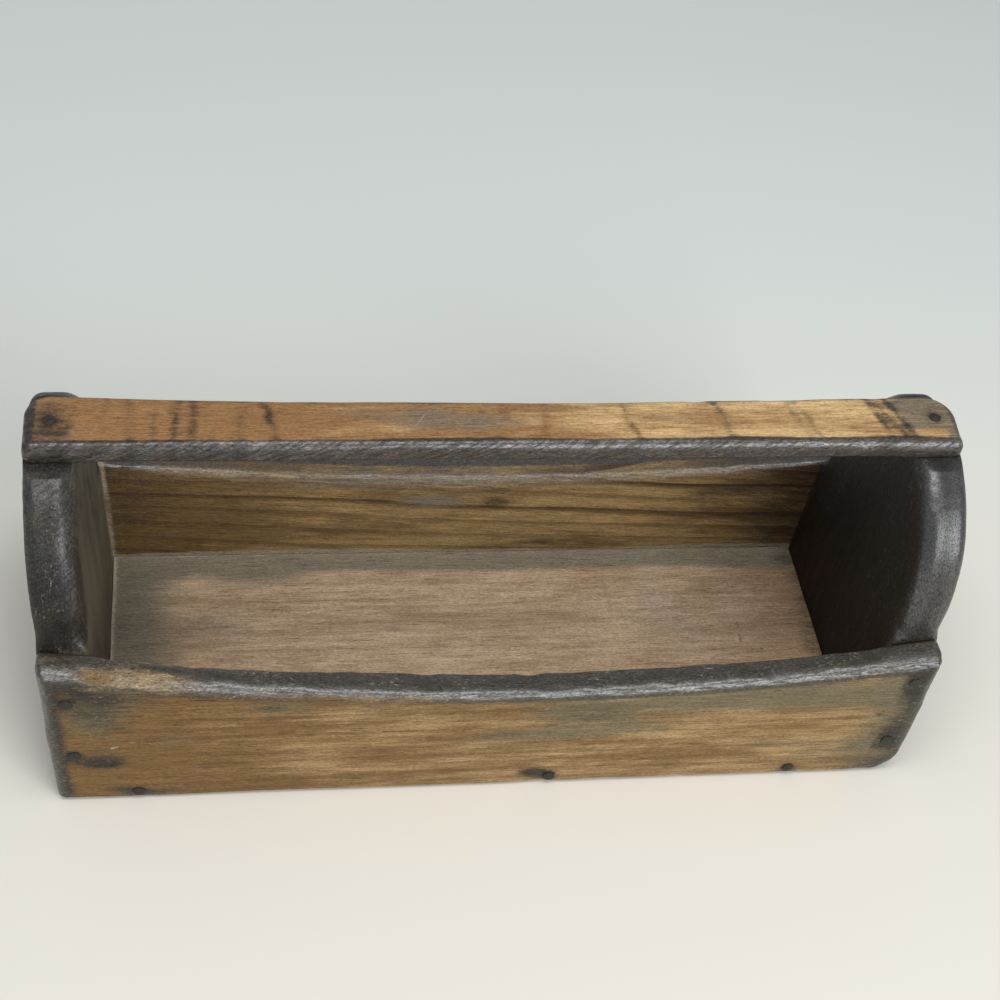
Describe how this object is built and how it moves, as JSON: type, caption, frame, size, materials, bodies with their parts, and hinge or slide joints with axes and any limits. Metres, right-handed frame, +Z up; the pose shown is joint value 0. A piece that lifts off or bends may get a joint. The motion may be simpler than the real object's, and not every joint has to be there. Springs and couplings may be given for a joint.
{
  "type": "wooden tool tote",
  "caption": "Hand-made open wooden tool tote: nailed boards, leaning arch-topped ends, scooped long sides and a flat carrying board across the top.",
  "frame": {"origin": "on the floor under the middle of the bottom board", "axes": "+X along the tote to the right seen from the front, -Y to the front (the side pictured), +Z up"},
  "size_m": [0.475, 0.179, 0.1895],
  "materials": {
    "side_wood": "waxed old softwood, golden brown, charcoal-dark worn edges",
    "dark_worn_wood": "blackened old softwood with a burnished, faintly glossy edge",
    "floor_wood": "dry, dusty grey-brown softwood",
    "handle_wood": "hand-polished golden wood with dark cross bars and black rounded edges",
    "iron_nail": "dark, dull wire-nail heads"
  },
  "bodies": {
    "root": {"left_end_board": "dark_worn_wood", "right_end_board": "dark_worn_wood", "front_board": "side_wood", "back_board": "side_wood", "bottom_board": "floor_wood", "handle_board": "handle_wood", "front_left_nails": "iron_nail", "front_right_nails": "iron_nail", "front_bottom_nails": "iron_nail", "back_left_nails": "iron_nail", "back_right_nails": "iron_nail", "back_bottom_nails": "iron_nail", "left_end_nails": "iron_nail", "right_end_nails": "iron_nail", "left_handle_nail": "iron_nail", "right_handle_nail": "iron_nail"}
  },
  "joints": []
}
